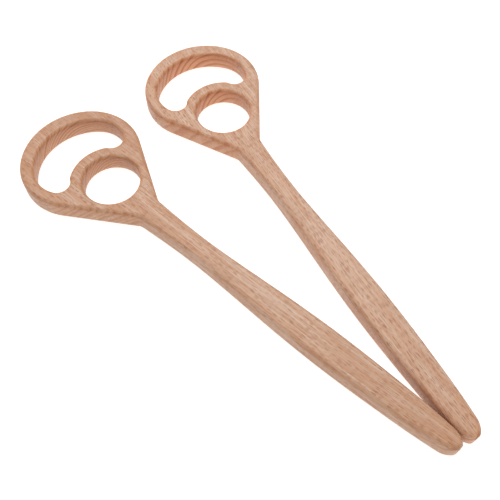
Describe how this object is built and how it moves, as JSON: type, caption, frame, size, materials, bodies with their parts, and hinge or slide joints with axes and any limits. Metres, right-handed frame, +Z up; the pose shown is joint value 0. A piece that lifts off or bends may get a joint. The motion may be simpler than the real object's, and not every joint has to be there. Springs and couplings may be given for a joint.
{
  "type": "salad servers",
  "caption": "Pair of wooden salad servers, each with a round head pierced by a crescent and a round hole, laid flat in a V with their handle ends together.",
  "frame": {"origin": "middle of the pair's bounding box, on the surface that the servers lie on", "axes": "+Y from the handle ends to the heads along the middle of the V, +X to the right server, +Z up"},
  "size_m": [0.1818, 0.3288, 0.0143],
  "materials": {
    "left_wood": "bare beech, sanded, matte",
    "right_wood": "bare beech, sanded, matte"
  },
  "bodies": {
    "left": {"left_server": "left_wood"},
    "right": {"right_server": "right_wood"}
  },
  "joints": [
    {"name": "right_server_lift", "type": "slide", "parent": "left", "child": "right", "axis": [0, 0, 1], "range_m": [0, 0.12]}
  ]
}
